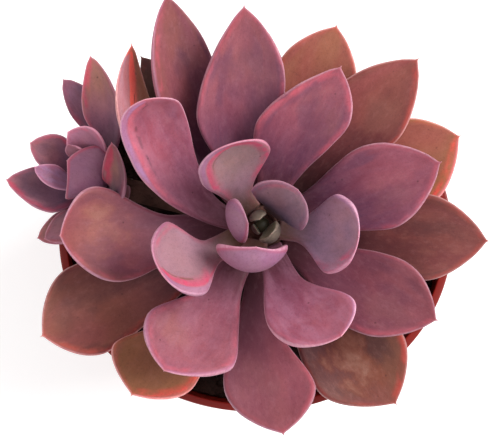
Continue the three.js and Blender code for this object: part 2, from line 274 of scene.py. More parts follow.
ROSETTE = [
    (
        Leaf(172, 3.3, 121, 106.3, 10.8, 55, 120, face=22, cup=0.15, bow=0.62, blunt=0.4),
        Side(lip=0.7, blush=0.9),
        Side(lip=0.7, blush=0.3),
        Tone(0.1, 0.3, 0.2, light=0.88),
    ),
    (
        Leaf(45, 12.2, 124, 105, 14.8, 72, 35, face=6, cup=0.2, blunt=0.8),
        Side(1.05, taper=2.6, lip=1.2, blush=0.5),
        Side(0.95, taper=2.6, lip=1.2, blush=0.3),
        Tone(0, 1, 0.4, light=0.64),
    ),
    (
        Leaf(254, 5.3, 123, 104, 17.2, 35, 128, face=17, cup=0.38, bow=0.44, blunt=0.4),
        Side(lip=0.9, blush=0.6),
        Side(lip=0.9, blush=0.9),
        Tone(0.2, 0, 0.2, light=0.98),
    ),
    (
        Leaf(113, 20.8, 128, 103, 19.4, 40, 78, swing=18, roll=18, face=-4, blunt=1),
        Side(0.88, belly=0.66, taper=3.4, flare=0.2, lip=2.1, blush=1.2),
        Side(1.05, belly=0.64, taper=2, flare=0.2, lip=0.9, blush=1.2),
        Tone(0.5, 0.15, 0.2, light=0.9),
    ),
    (
        Leaf(353, 23.2, 128, 102, 19.4, 35, 85, blunt=0.7),
        Side(belly=0.58, taper=1.6, flare=0.25, lip=1.3, blush=0.1),
        Side(belly=0.58, taper=1.5, flare=0.25, lip=1.1, blush=0.8),
        Tone(0, 0.7, 0.55, light=1.12),
    ),
    (
        Leaf(203, 26.9, 127, 101, 20.6, 30, 80, swing=8, roll=6, face=10, bow=0.38, blunt=1),
        Side(0.93, belly=0.61, taper=2, flare=0.4, lip=2.2, blush=1.2),
        Side(1.02, taper=1.35, flare=0.5, lip=1.2, blush=0.5),
        Tone(0.12, 0.15, 0.05, light=0.98),
    ),
    (
        Leaf(63.5, 43.5, 119, 100, 21.5, 25, 30, swing=8, cup=0.2),
        Side(0.96, belly=0.48, taper=1.4, lip=0.6, blush=0.7),
        Side(0.83, belly=0.72, taper=2, lip=0.6, blush=0.6),
        Tone(0.1, 0.8, 0.2, light=0.9),
    ),
    (
        Leaf(305.5, 32.8, 126, 99, 24, 20, 60, swing=-12, face=-9, blunt=0.6),
        Side(0.7, belly=0.76, taper=2.6, flare=0.35, lip=1.1, blush=0.15),
        Side(0.95, belly=0.58, taper=2.3, lip=0.6, blush=0.3),
        Tone(0.1, 0.5, 0.85, light=1.14),
    ),
    (
        Leaf(133, 41.2, 128, 98, 16.8, 20, 75, swing=36, roll=8, blunt=0.8),
        Side(1.02, belly=0.62, taper=4.2, lip=2.3, blush=0.7),
        Side(0.97, belly=0.7, taper=3.8, lip=0.6, blush=0.1),
        Tone(0.1, 0.6, 0.6, light=1.1),
    ),
    (
        Leaf(19.4, 47, 115, 97, 22.5, 20, 28, swing=-2, cup=0.2),
        Side(0.9, taper=2, lip=0.5, blush=0.2),
        Side(0.94, belly=0.62, taper=1.9, lip=0.6, blush=0.45),
        Tone(0, 0.9, 0.2, light=0.85),
    ),
    (
        Leaf(236, 42.8, 122, 96, 24, 15, 60, swing=-2, blunt=0.25),
        Side(1.15, belly=0.72, taper=1.6, flare=0.1, lip=1.2, blush=0.6),
        Side(0.88, belly=0.7, flare=0.45, lip=1.2, blush=0.5),
        Tone(0.3, 0.35, 0.5, light=0.85, scar=0.2),
    ),
    (
        Leaf(94.6, 54.5, 116, 95, 21.5, 20, 30, swing=8, cup=0.3),
        Side(1.04, belly=0.46, taper=1.55, lip=0.7, blush=0.45),
        Side(0.95, belly=0.62, blush=0.4),
        Tone(0.4, 0.9, 0.2, light=0.9),
    ),
    (
        Leaf(331.5, 50, 110, 94, 21, 15, 25, swing=-3, cup=0.2),
        Side(0.88, belly=0.68),
        Side(1.05, lip=0.6, blush=0.5),
        Tone(0.2, 0.5, 0, light=0.66),
    ),
    (
        Leaf(183, 50, 116, 93, 24, 12, 70, cup=0.2),
        Side(1.02, belly=0.62, flare=0.1, lip=0.8, blush=0.4),
        Side(0.98, belly=0.74, taper=2.3, flare=0.4, lip=0.6, blush=0.2),
        Tone(0.8, 0.6, 0, light=0.83, scar=0.4),
    ),
    (
        Leaf(276, 53, 108, 92, 24, 12, 35, swing=-6),
        Side(0.8, belly=0.76, taper=2, flare=0.5, lip=0.5, blush=0.5),
        Side(belly=0.7, taper=2, flare=0.15, lip=0.7, blush=0.2),
        Tone(0.3, 0.4, 0, light=0.7),
    ),
    (
        Leaf(112.4, 62, 114, 91, 17.5, 15, 35, swing=18, roll=30, cup=0.3),
        Side(lip=1, blush=0.8),
        Side(0.95, blush=0.1),
        Tone(0.8, 1, 0, light=0.7),
    ),
    (
        Leaf(46.8, 57.5, 108, 90, 21, 14, 25, cup=0.25),
        Side(0.88, belly=0.64, taper=1.9, blush=0.15),
        Side(0.92, belly=0.64, taper=1.9, lip=0.6, blush=0.5),
        Tone(0.3, 0.7, 0, light=0.95, scar=0.2),
    ),
    (
        Leaf(356, 57.6, 105, 89, 21, 12, 20, cup=0.25),
        Side(0.97, belly=0.7, taper=1.8, lip=0.5, blush=0.4),
        Side(belly=0.7, taper=1.8, lip=0.5, blush=0.4),
        Tone(0.25, 0.7, 0, light=0.72, scar=0.2),
    ),
    (
        Leaf(232.6, 54.3, 104, 88, 25, 10, 50, cup=0.2),
        Side(0.87, belly=0.75, flare=0.2, lip=0.9, blush=1),
        Side(0.88, belly=0.82, taper=2.4, flare=0.6, lip=0.6, blush=0.3),
        Tone(0.9, 0.5, 0, light=1.4, scar=0.2),
    ),
    (
        Leaf(125.5, 56, 108, 87, 16, 10, 45, swing=38, roll=48),
        Side(1.5, belly=0.62, flare=0.5, lip=6, blush=2.4),
        Side(0.35, lip=0.4, blush=0),
        Tone(0.8, 0.1, 0.2, light=1.35),
    ),
    (
        Leaf(307, 57.5, 99, 86, 24, 8, 25, cup=0.2),
        Side(0.98, belly=0.7, lip=0.6, blush=0.9),
        Side(1.12, belly=0.7, lip=0.5, blush=0.35),
        Tone(0.6, 1, 0, light=0.7, scar=1),
    ),
    (
        Leaf(206.8, 63, 100, 85, 24, 8, 50, cup=0.2),
        Side(0.9, belly=0.74, lip=0.8, blush=0.6),
        Side(1.02, belly=0.74, lip=0.5, blush=0.15),
        Tone(0.5, 1, 0),
    ),
    (
        Leaf(69.3, 54.7, 100, 84, 20, 8, 20),
        Side(belly=0.68),
        Side(0.98, belly=0.68),
        Tone(0.7, 0.2, 0, light=1.3),
    ),
    (
        Leaf(24.2, 56, 98, 82.5, 21, 8, 20),
        Side(0.95, belly=0.7),
        Side(1.17, belly=0.7, lip=1.2, blush=1),
        Tone(1, 0, 0, light=1.35),
    ),
    # This low leaf lies under leaf_19 and is drawn nearly black: painted shade
    (Leaf(125.5, 54, 91.5, 80.5, 12, 4, 12), Side(), Side(), Tone(0.7, 0.8, 0, light=0.16)),
    (Leaf(90, 52.5, 91, 78, 13, 4, 12), Side(), Side(), Tone(0.8, 0.5, 0, light=0.8)),
    (
        Leaf(9.4, 48, 87.5, 78.4, 14, 2, 8, swing=-2),
        Side(belly=0.66),
        Side(belly=0.66),
        Tone(0.9, 0.3, 0, light=0.8),
    ),
]
# How many leaves are young, and how many are young or full-grown. The others are old
YOUNG_LEAVES = 6
GROWN_LEAVES = 16

OFFSET_LEAVES = [
    (
        Leaf(94, 7.7, 15.5, 3, 10, 40, 60, swing=-52, bow=0.45),
        Side(blush=0.4),
        Side(blush=0.4),
        Tone(0.2, 0.2, 0.3, light=1.3),
    ),
    (
        Leaf(335, -1.2, 14, 2, 14, 20, 140, swing=-15, face=-8, bow=0.55, blunt=0.2),
        Side(0.94, belly=0.66, taper=1.4, lip=0.5, blush=1),
        Side(1.28, belly=0.66, taper=1.4, lip=0.5, blush=1),
        Tone(0, 0.6, 0, light=0.72),
    ),
    (Leaf(181, 11, 13, 1, 6, 40, 50, swing=40), Side(0.6), Side(), Tone(0, 0.2, 1, light=1.25)),
    (
        Leaf(17, 13.4, 16, 0, 9.5, 30, 45, swing=-62, roll=30, bow=0.7),
        Side(0.9, belly=0.4, taper=1.9, lip=0.9, blush=1.4),
        Side(0.55, belly=0.4),
        Tone(0.6, 1, 0, light=0.72, scar=0.3),
    ),
    (Leaf(154, 15.4, 11.6, -1, 9.5, 25, 40), Side(0.8), Side(blush=0.5), Tone(0.3, 0.9, 0, light=1.08)),
    (
        Leaf(84.5, 28.7, 12.5, -1.5, 9, 20, 30, swing=-20, cup=0.3),
        Side(1.15, belly=0.5, lip=0.5, blush=0.7),
        Side(0.95, belly=0.4, lip=0.4, blush=0.2),
        Tone(1, 0.6, 0, light=1.22),
    ),
    (
        Leaf(185, 22, 8.8, -3, 11, 15, 30, swing=18),
        Side(1.1, belly=0.45, taper=1.5, blush=0.7),
        Side(0.9, taper=1.8),
        Tone(0.2, 1, 0),
    ),
    (
        Leaf(105, 24.6, 10, -4.5, 9, 8, 40, swing=-26),
        Side(blush=0.6),
        Side(0.72),
        Tone(0, 1, 0.4, light=0.74),
    ),
    (Leaf(235, 21, 4, -4, 8, 10, 20, swing=24), Side(), Side(), Tone(0.4, 0.5, 0.1)),
    (Leaf(226, 22.6, 1.5, -6.5, 8.5, -2, 15, swing=24), Side(), Side(), Tone(0.6, 0.4, 0)),
    # This hidden leaf is drawn at half brightness: painted shade
    (Leaf(316, 11, -2.5, -4.5, 6.5, 0, 5), Side(), Side(), Tone(0.5, 0.6, 0, light=0.5)),
]
OFFSET_SEED = 60

BUD_SIDE = Side(blush=0)
HEART = Bud(
    rows=[
        (Leaf(318, 3, 9.5, 1, 6, 50, 105, cup=0.3), BUD_SIDE, BUD_SIDE, Tone(0.4, 0, 0, light=0.72)),
        (Leaf(115, 1.4, 9, 1, 4, 50, 130), BUD_SIDE, BUD_SIDE, Tone(1, 0, 0, light=0.7)),
        (Leaf(215, 1.7, 6.5, 1, 2.6, 60, 100), BUD_SIDE, BUD_SIDE, Tone(1, 1, 0, light=0.5)),
    ],
    core_radius=2,
    core_tall=3,
    plump=2.2,
    seed=50,
)
OFFSET_HEART = Bud(
    rows=[
        (Leaf(95, 4.5, 11, 1, 4.5, 60, 80), Side(), Side(), Tone(0.1, 0, 0)),
        (Leaf(250, 1.8, 7, 1, 3.6, 60, 100), Side(), Side(), Tone(0.1, 0.2, 0)),
    ],
    core_radius=1.2,
    core_tall=3,
    plump=1.6,
    seed=80,
)
# The core is dark plum at half brightness: painted shade in the heart's hollow
CORE_TONE = Tone(0.6, 1, 0, light=0.5, scar=0)


# Materials


def srgb(red, green, blue):
    """A colour given as it looks on a screen, from 0 to 255, in linear light"""
    shares = [c / 255 for c in (red, green, blue)]
    return tuple(s / 12.92 if s < 0.04045 else ((s + 0.055) / 1.055) ** 2.4 for s in shares)


class Finish:
    """A material with one Principled shader, and short ways to add nodes to it"""

    def __init__(self, name):
        self.material = bpy.data.materials.new(name)
        self.material.use_nodes = True
        self.tree = self.material.node_tree
        self.shader = self.tree.nodes["Principled BSDF"]

    def put(self, socket, value):
        if isinstance(value, bpy.types.NodeSocket):
            self.tree.links.new(value, socket)
        elif isinstance(value, tuple) and socket.type == "RGBA":
            socket.default_value = (*value[:3], 1)
        else:
            socket.default_value = value

    def node(self, kind, output=0, settings=None, **inputs):
        made = self.tree.nodes.new(kind)
        for key, value in (settings or {}).items():
            setattr(made, key, value)
        for key, value in inputs.items():
            self.put(made.inputs[key.replace("_", " ")], value)
        return made.outputs[output]

    def surface(self, **inputs):
        for key, value in inputs.items():
            self.put(self.shader.inputs[key.replace("_", " ")], value)
        return self.material

    def attribute(self, name):
        return self.node("ShaderNodeAttribute", "Vector", {"attribute_name": name})

    def parts(self, vector):
        split = self.tree.nodes.new("ShaderNodeSeparateXYZ")
        self.put(split.inputs[0], vector)
        return split.outputs[0], split.outputs[1], split.outputs[2]

    def math(self, operation, a, b=0.0, c=0.0):
        made = self.tree.nodes.new("ShaderNodeMath")
        made.operation = operation
        for socket, value in zip(made.inputs, (a, b, c)):
            self.put(socket, value)
        return made.outputs[0]

    def times(self, *values):
        total = values[0]
        for value in values[1:]:
            total = self.math("MULTIPLY", total, value)
        return total

    def step(self, value, low, high, out_low=0.0, out_high=1.0):
        """A smooth change from out_low to out_high as value goes from low to high"""
        made = self.tree.nodes.new("ShaderNodeMapRange")
        made.interpolation_type = "SMOOTHSTEP"
        for socket, v in zip(made.inputs, (value, low, high, out_low, out_high)):
            self.put(socket, v)
        return made.outputs[0]

    def band(self, value, start, full, full_end, end):
        """1 between full and full_end, falling to 0 at start and at end"""
        return self.times(self.step(value, start, full), self.step(value, full_end, end, 1.0, 0.0))

    def scaled(self, vector, x, y, z):
        return self.node("ShaderNodeMapping", 0, Vector=vector, Scale=(x, y, z))

    def noise(self, vector, scale, detail=2.0, roughness=0.5, distortion=0.0):
        return self.node(
            "ShaderNodeTexNoise", 0, Vector=vector, Scale=scale, Detail=detail, Roughness=roughness,
            Distortion=distortion,
        )

    def cells(self, vector):
        """How far the nearest of many scattered points is, and a random share of that point's own"""
        made = self.tree.nodes.new("ShaderNodeTexVoronoi")
        self.put(made.inputs["Vector"], vector)
        self.put(made.inputs["Scale"], 1.0)
        return made.outputs["Distance"], self.parts(made.outputs["Color"])[0]

    def mix(self, factor, a, b):
        made = self.tree.nodes.new("ShaderNodeMix")
        made.data_type = "RGBA"
        made.clamp_factor = True
        for name, value in (("Factor_Float", factor), ("A_Color", a), ("B_Color", b)):
            self.put(next(s for s in made.inputs if s.identifier == name), value)
        return next(s for s in made.outputs if s.identifier == "Result_Color")

    def bump(self, height, distance, strength):
        return self.node("ShaderNodeBump", 0, Height=height, Distance=distance, Strength=strength)


class LeafSkin(Finish):
    """The finish of one palette's leaves, with what add_leaf says about each point of a blade: how far
    along the leaf it is, how far inside the lip and the edge, how far beside the midline, and the tones
    of its leaf"""

    def __init__(self, name):
        super().__init__(name)
        self.palette = PALETTES[name]
        self.u, self.margin, self.edge = self.parts(self.attribute("leaf_at"))
        self.place = self.attribute("leaf_place")
        self.across, _, _ = self.parts(self.place)
        self.warm, self.plum, self.bloom = self.parts(self.attribute("leaf_tone"))
        self.blush, self.light, self.scar = self.parts(self.attribute("leaf_glow"))
        self.lip = self.math("SUBTRACT", self.edge, self.margin)
        self.tip = self.step(self.u, 0.95, 1.0, 0.0, 0.6)
        self.blotch = self.patches(0.13, 0.1, 3.0, 0.55, 0.3)
        self.streak = self.patches(1.3, 0.1, 2.0, 0.6)
        self.edge_patch = self.patches(0.16, 0.2, 2.0, 0.6)

    def patches(self, across, along, *texture):
        """Noise with so many patches per millimetre across and along the leaf"""
        return self.noise(self.scaled(self.place, across, along, 1), 1.0, *texture)


# A leaf's colours: its face with lighter and olive-brown patches, plum that is partly painted shade,
# # its back, its red margin and pale rim, the rim partly a painted highlight, its bloom of wax, its dark
# # root, partly painted shade, and the rubbed rim and the cork of a scar
Palette = namedtuple("Palette", "face light warm plum back margin rim wax root rub cork")
PALETTES = {
    "leaf_young": Palette(
        face=srgb(146, 104, 114),
        light=srgb(162, 118, 131),
        warm=srgb(142, 120, 98),
        plum=srgb(80, 76, 106),
        back=srgb(154, 102, 134),
        margin=srgb(194, 70, 98),
        rim=srgb(216, 164, 184),
        wax=srgb(178, 136, 166),
        root=srgb(102, 76, 46),
        rub=srgb(168, 84, 50),
        cork=srgb(150, 124, 112),
    ),
    "leaf": Palette(
        face=srgb(140, 64, 80),
        light=srgb(159, 82, 98),
        warm=srgb(148, 84, 72),
        plum=srgb(78, 44, 76),
        back=srgb(154, 112, 152),
        margin=srgb(206, 88, 104),
        rim=srgb(216, 162, 174),
        wax=srgb(172, 118, 142),
        root=srgb(70, 26, 32),
        rub=srgb(164, 84, 60),
        cork=srgb(168, 122, 102),
    ),
    "leaf_old": Palette(
        face=srgb(130, 55, 60),
        light=srgb(150, 74, 75),
        warm=srgb(130, 89, 55),
        plum=srgb(66, 32, 42),
        back=srgb(150, 112, 124),
        margin=srgb(196, 72, 62),
        rim=srgb(220, 160, 156),
        wax=srgb(156, 124, 108),
        root=srgb(50, 20, 22),
        rub=srgb(134, 56, 26),
        cork=srgb(168, 120, 104),
    ),
    "offset_leaf": Palette(
        face=srgb(128, 74, 92),
        light=srgb(152, 96, 116),
        warm=srgb(160, 108, 82),
        plum=srgb(70, 50, 74),
        back=srgb(146, 92, 122),
        margin=srgb(196, 62, 88),
        rim=srgb(210, 150, 168),
        wax=srgb(150, 120, 160),
        root=srgb(58, 24, 34),
        rub=srgb(170, 80, 50),
        cork=srgb(160, 120, 100),
    ),
    "bud": Palette(
        face=srgb(98, 96, 72),
        light=srgb(132, 118, 98),
        warm=srgb(110, 104, 72),
        plum=srgb(48, 54, 44),
        back=srgb(118, 104, 94),
        margin=srgb(170, 110, 104),
        rim=srgb(182, 160, 148),
        wax=srgb(160, 140, 140),
        root=srgb(66, 58, 34),
        rub=srgb(140, 90, 60),
        cork=srgb(140, 124, 100),
    ),
}
SPOT_COLOUR = srgb(62, 26, 30)
GRAIN_COLOUR = srgb(56, 26, 36)
MOTTLE_COLOUR = srgb(70, 26, 40)


def leaf_face(f):
    """Mauve, olive-brown towards a warm leaf's tip, plum from the root and in patches, and dark at the
    root.
    The plum, which reaches further along the right side, and the dark root are partly painted shade
    """
    p = f.palette
    face = f.mix(f.step(f.blotch, 0.25, 0.75), p.face, p.light)
    wide_blotch = f.patches(0.05, 0.04, 1.0)
    warmth = f.times(f.warm, f.step(f.u, 0.25, 0.75), f.step(wide_blotch, 0.3, 0.6, 0.35, 0.9))
    face = f.mix(warmth, face, p.warm)
    # Plum from the root, partly the leaf's own colour and partly painted shade. The painted shade reaches
    # further along the right side, as seen from the stem, and lies in patches almost to the tip
    shade_end = f.step(f.math("MULTIPLY_ADD", f.blotch, 3.0, f.across), -1.5, 2.5, 1.15, 0.7)
    shade = f.times(f.plum, f.step(f.u, 0.2, shade_end, 1.0, 0.0), f.step(f.streak, 0.3, 0.7, 0.85, 1.0))
    cloud = f.step(f.patches(0.09, 0.05, 2.0), 0.45, 0.62, 0.0, 0.6)
    shadow_patches = f.times(f.plum, cloud, f.step(f.u, 0.75, 0.98, 1.0, 0.0))
    face = f.mix(f.math("MAXIMUM", shade, shadow_patches), face, p.plum)
    # The dark root: partly the leaf's own base colour, partly painted shade at the stem
    return f.mix(f.step(f.u, 0.04, 0.42, 0.9, 0.0), face, p.root)


def reddened(f, face):
    """The face with a patchy red margin, a red tip and a dark line of painted shade in the crease inside a
    wide lip
    """
    p = f.palette
    wavy = f.math("MULTIPLY_ADD", f.math("SUBTRACT", f.blotch, 0.5), 1.6, f.margin)
    inner = f.math("MULTIPLY_ADD", f.blush, 1.9, 0.6)
    patchy = f.math("MAXIMUM", f.step(f.edge_patch, 0.38, 0.6, 0.2, 1.0), f.step(f.lip, 1.0, 1.6, 0.0, 0.7))
    band = f.times(
        f.step(f.margin, -0.9, 0.1),
        f.step(wavy, 0.0, inner, 1.0, 0.0),
        f.blush,
        patchy,
        f.step(f.u, 0.15, 0.6, 0.15, 1.0),
    )
    face = f.mix(f.math("MAXIMUM", band, f.tip), face, p.margin)
    # Painted shade: a dark line in the root's colour, in the crease just inside a wide lip
    crease_shade = f.times(
        f.band(wavy, 1.3, 1.7, 1.8, 2.3),
        f.step(f.lip, 1.2, 1.7),
        f.step(f.edge_patch, 0.4, 0.5),
        f.step(f.u, 0.4, 0.6, 0.0, 0.6),
    )
    return f.mix(crease_shade, face, p.root)


def scarred(f, face):
    """The face with a healed scar: a rubbed rim round pale cork"""
    p = f.palette
    ragged = f.patches(0.12, 0.1, 4.0, 0.6, 0.25)
    aside = f.math("MULTIPLY_ADD", f.across, 1 / SCAR_WIDE, SCAR_ASIDE / SCAR_WIDE)
    beyond = f.math("MULTIPLY_ADD", f.u, 1 / SCAR_LONG, -SCAR_AT / SCAR_LONG)
    spread = f.math("SQRT", f.math("ADD", f.math("POWER", aside, 2.0), f.math("POWER", beyond, 2.0)))
    spread = f.math("MULTIPLY_ADD", ragged, -SCAR_RAGGED, spread)
    open_skin = f.times(f.scar, f.step(f.margin, 0.5, 2.5), f.step(f.u, 0.3, 0.5, 0.0, 0.75))
    face = f.mix(f.times(f.step(spread, -2.5, -1.1, 1.0, 0.0), open_skin), face, p.rub)
    return f.mix(f.times(f.step(spread, -2.9, -1.6, 1.0, 0.0), open_skin), face, p.cork)


def leaf_back(f):
    """Lilac, plum towards the root as partly painted shade, with a red flush next to the margin and a red
    tip
    """
    p = f.palette
    back = f.mix(f.step(f.blotch, 0.3, 0.7, 0.0, 0.6), p.back, p.light)
    # Partly painted shade: the back turns plum towards the root
    back = f.mix(f.step(f.u, 0.1, 0.5, 0.7, 0.0), back, p.plum)
    flush = f.times(
        f.step(f.edge, -1.5, -0.3),
        f.blush,
        f.step(f.u, 0.3, 0.6, 0.0, 0.6),
        f.step(f.lip, 1.1, 1.8, 1.0, 0.05),
    )
    return f.mix(f.math("MAXIMUM", flush, f.tip), back, p.margin)


def waxed(f, colour, wax_cloud):
    """The colour under a cloudy bloom of wax, with a pale rim along the edge that is partly the wax's
    paleness and partly a painted highlight
    """
    p = f.palette
    wax = f.times(f.math("MULTIPLY_ADD", f.bloom, 0.6, 0.05), f.step(wax_cloud, 0.3, 0.7, 0.18, 0.78))
    colour = f.mix(wax, colour, p.wax)
    # Partly painted highlight: the pale rim where the rounded edge catches the light
    rim = f.times(
        f.band(f.edge, -0.6, -0.15, 0.05, 0.5),
        f.step(f.streak, 0.3, 0.65, 0.25, 0.6),
        f.step(f.u, 0.15, 0.5),
    )
    return f.mix(rim, colour, p.rim)


def speckled(f, colour, grain):
    """The colour with small dark spots, a fine grain and a soft mottle"""
    near, chance = f.cells(f.scaled(f.place, 0.42, 0.42, 1))
    spots = f.times(
        f.step(near, 0.05, 0.16, 0.55, 0.0),
        f.step(chance, 0.82, 0.9),
        f.step(f.margin, 1.0, 2.0),
    )
    mottle = f.patches(0.9, 0.45, 4.0, 0.7)
    colour = f.mix(spots, colour, SPOT_COLOUR)
    colour = f.mix(f.step(grain, 0.52, 0.28, 0.0, 0.22), colour, GRAIN_COLOUR)
    colour = f.mix(f.step(mottle, 0.52, 0.3, 0.0, 0.09), colour, MOTTLE_COLOUR)
    return f.mix(f.step(mottle, 0.48, 0.75, 0.0, 0.06), colour, f.palette.rim)


def leaf_finish(name):
    """Waxy leaf skin: a mauve to olive and plum face with painted shade, patchy red margin, pale rim with a
    painted highlight and lilac back
    """
    f = LeafSkin(name)
    face = scarred(f, reddened(f, leaf_face(f)))
    colour = f.mix(f.step(f.margin, -1.0, -0.1), leaf_back(f), face)
    wax_cloud = f.patches(0.3, 0.12, 4.0, 0.6, 0.5)
    colour = waxed(f, colour, wax_cloud)
    # Each leaf's brightness scales its colour: painted shade and painted light for the leaf as a whole
    colour = f.node("ShaderNodeVectorMath", 0, {"operation": "SCALE"}, Vector=colour, Scale=f.light)
    grain = f.patches(2.2, 1.7, 4.0, 0.7)
    return f.surface(
        Base_Color=speckled(f, colour, grain),
        Roughness=f.step(wax_cloud, 0.2, 0.8, 0.46, 0.62),
        Normal=f.bump(f.math("MULTIPLY_ADD", f.streak, 0.5, grain), 0.00012, 0.35),
        Specular_IOR_Level=0.3,
        Sheen_Weight=0.06,
        Sheen_Roughness=0.4,
        Sheen_Tint=(0.9, 0.75, 0.85),
        Subsurface_Weight=0.06,
        Subsurface_Radius=(1.0, 0.25, 0.2),
        Subsurface_Scale=0.002,
    )


def pot_finish():
    """Terracotta-red moulded plastic, satin, with faint flow marks and soil dust"""
    f = Finish("pot_plastic")
    place = f.node("ShaderNodeTexCoord", "Object")
    _, _, height = f.parts(place)
    cloud = f.noise(place, 55.0, 3.0)
    flow = f.noise(f.scaled(place, 1, 1, 0.12), 260.0, 2.0)
    grain = f.noise(place, 2600.0, 2.0)
    colour = f.mix(f.step(cloud, 0.3, 0.7), srgb(120, 21, 15), srgb(130, 27, 18))
    colour = f.mix(f.step(flow, 0.45, 0.75, 0.0, 0.25), colour, srgb(122, 25, 18))
    dust = f.times(f.noise(place, 420.0, 4.0, 0.7), f.step(height, 0.0, 0.03, 1.0, 0.35))
    colour = f.mix(f.step(dust, 0.38, 0.62, 0.0, 0.2), colour, srgb(130, 96, 80))
    return f.surface(
        Base_Color=colour,
        Roughness=f.step(flow, 0.2, 0.8, 0.32, 0.5),
        Normal=f.bump(f.math("MULTIPLY_ADD", grain, 0.4, flow), 0.00008, 0.5),
        Specular_IOR_Level=0.28,
    )


def crumbly_finish(name, dark, light, scale=900.0, roughness=0.95):
    """A rough, mottled finish for soil, bark and stem"""
    f = Finish(name)
    place = f.node("ShaderNodeTexCoord", "Object")
    clump = f.noise(place, scale * 0.25, 3.0)
    grain = f.noise(place, scale, 4.0, 0.7)
    colour = f.mix(f.step(clump, 0.3, 0.7), dark, light)
    colour = f.mix(f.step(grain, 0.5, 0.7, 0.0, 0.5), colour, tuple(c * 0.3 for c in dark))
    return f.surface(
        Base_Color=colour,
        Roughness=roughness,
        Normal=f.bump(f.math("ADD", clump, grain), 0.0006, 0.8),
        Specular_IOR_Level=0.1,
    )


# Pieces


def finished(name, bm, material, slot, *nodes):
    """Turns a bmesh in millimetres into a piece that stands for CAD nodes"""
    bmesh.ops.scale(bm, vec=(MM, MM, MM), verts=bm.verts)
    for face in bm.faces:
        face.smooth = True
    mesh = bpy.data.meshes.new(name)
    bm.to_mesh(mesh)
    bm.free()
    mesh.materials.append(material)
    piece = bpy.data.objects.new(name, mesh)
    bpy.context.scene.collection.objects.link(piece)
    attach(piece, "root")
    if nodes:
        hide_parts(*nodes)
    return piece


def outline(u, side, blunt):
    """Share of the greatest half-width on one side"""
    if u < side.belly:
        return side.width * lerp(NECK, 1, smoothstep(u / side.belly, side.flare, NECK_DONE))
    end = lerp(BLADE_END, 1, blunt)
    if u >= end:
        return 0
    fall = ((u - side.belly) / (end - side.belly)) ** side.taper
    return side.width * (1 - fall) ** lerp(1, BLUNT_POWER, blunt)


def half_width(u, leaf, side):
    """Width on one side of the midline, with the tip's small point"""
    point = POINT * lerp(1, STEEP_POINT, smoothstep(leaf.end, *STEEP_END))
    point = point * min(1 - u, 1 - POINT_FROM) / (1 - POINT_FROM)
    return leaf.wide / 2 * outline(u, side, leaf.blunt) + point + LEAST_WIDE


def flesh_at(u):
    """Share of the greatest thickness"""
    swell = SWELL * math.sin(math.pi * min(u / SWELL_END, 1))
    return ROOT_FLESH + swell - TIP_LOSS * smoothstep(u, *THINNED)


class Midline:
    """A leaf's centre line, from its root at the stem to its tip, by share of its length"""

    STEPS = 240

    def __init__(self, leaf, radius_at):
        clear = GAP + ROOT_CLEAR * math.sin(math.radians(leaf.out))
        foot = around(leaf.az + leaf.swing, radius_at(leaf.root) + clear, leaf.root)
        tip = around(leaf.az, leaf.reach, leaf.top)
        pull = leaf.bow * (tip - foot).length
        first = foot + heading(leaf.az + leaf.swing, leaf.out) * pull
        last = tip - heading(leaf.az - leaf.swing, leaf.end) * pull
        self.points = interpolate_bezier(foot, first, last, tip, self.STEPS)
        self.lengths = [0]
        for a, b in zip(self.points, self.points[1:]):
            self.lengths.append(self.lengths[-1] + (b - a).length)
        self.length = self.lengths[-1]

    def at(self, u):
        goal = u * self.length
        i = min(max(bisect_right(self.lengths, goal) - 1, 0), len(self.points) - 2)
        t = (goal - self.lengths[i]) / (self.lengths[i + 1] - self.lengths[i])
        before = self.points[max(i - 1, 0)]
        after = self.points[min(i + 2, len(self.points) - 1)]
        return self.points[i].lerp(self.points[i + 1], t), (after - before).normalized()


def section(u, leaf, sides, line):
    """A ring's place, its directions sideways and up, and the width, slant and lip of each side"""
    point, along = line.at(u)
    facing = math.radians(leaf.az + leaf.face + leaf.swing * (1 - 2 * u))
    aside = Vector((-math.sin(facing), math.cos(facing), 0))
    aside = (aside - along * aside.dot(along)).normalized()
    aside.rotate(Matrix.Rotation(math.radians(leaf.roll) * smoothstep(u, *ROLLED), 3, along))
    flanks = []
    for side in sides:
        width = half_width(u, leaf, side)
        further = half_width(min(u + SHORT_WAY, 1), leaf, side)
        slope = (further - width) / (SHORT_WAY * line.length)
        lip = lerp(THIN_LIP, side.lip, smoothstep(u, *LIPPED))
        flanks.append((width, 1 / math.hypot(1, slope), min(lip, width * LIP_MOST)))
    return point, aside, along.cross(aside), flanks


def face_depth(u, from_edge, width, lip, flesh):
    """How far the face stands over the midline: rounded at the margin, with a ridge inside a wide lip"""
    fall = min(max(1 - from_edge / min(max(lip, ROUND_LIP), width), 0), 1)
    from_ridge = (from_edge - lip - RIDGE_AT) / RIDGE_WIDE
    ridge = RIDGE * math.exp(-(from_ridge**2)) * smoothstep(lip, *RIDGE_LIP)
    return flesh * FACE_SHARE * math.sqrt(1 - fall * fall) + ridge * (1 - smoothstep(u, *RIDGE_ENDS))


